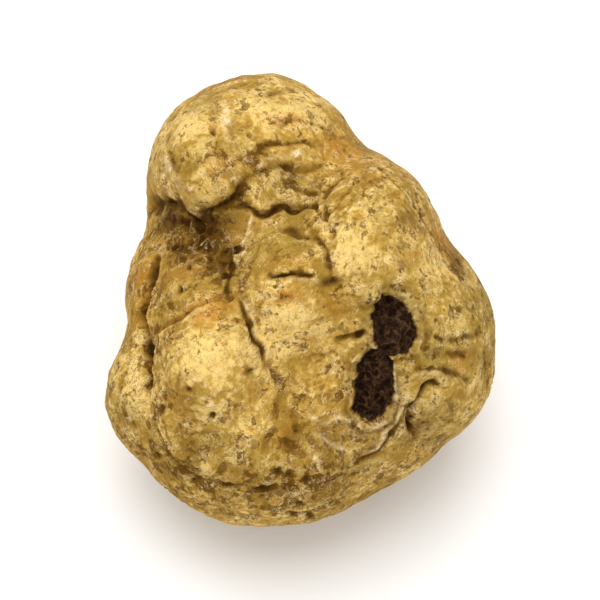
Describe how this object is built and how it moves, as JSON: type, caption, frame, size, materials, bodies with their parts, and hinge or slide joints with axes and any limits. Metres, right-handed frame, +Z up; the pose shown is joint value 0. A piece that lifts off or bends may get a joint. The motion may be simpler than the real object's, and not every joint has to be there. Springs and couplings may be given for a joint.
{
  "type": "white truffle",
  "caption": "Whole white truffle: a lumpy, knobbly tuber with rounded lobes, deep folds and torn pits in its pale ochre skin, resting on a small flat spot.",
  "frame": {"origin": "middle of the truffle's box in X and Y, on the plane that it rests on", "axes": "+Z up from the resting plane; +Y from the pitted front to the rear, along the longest side; +X to the right as the front is seen"},
  "size_m": [0.043, 0.049, 0.0372],
  "materials": {
    "skin": "matt, dry, finely mottled ochre skin with brown folds and pits"
  },
  "bodies": {
    "root": {"truffle": "skin"}
  },
  "joints": []
}
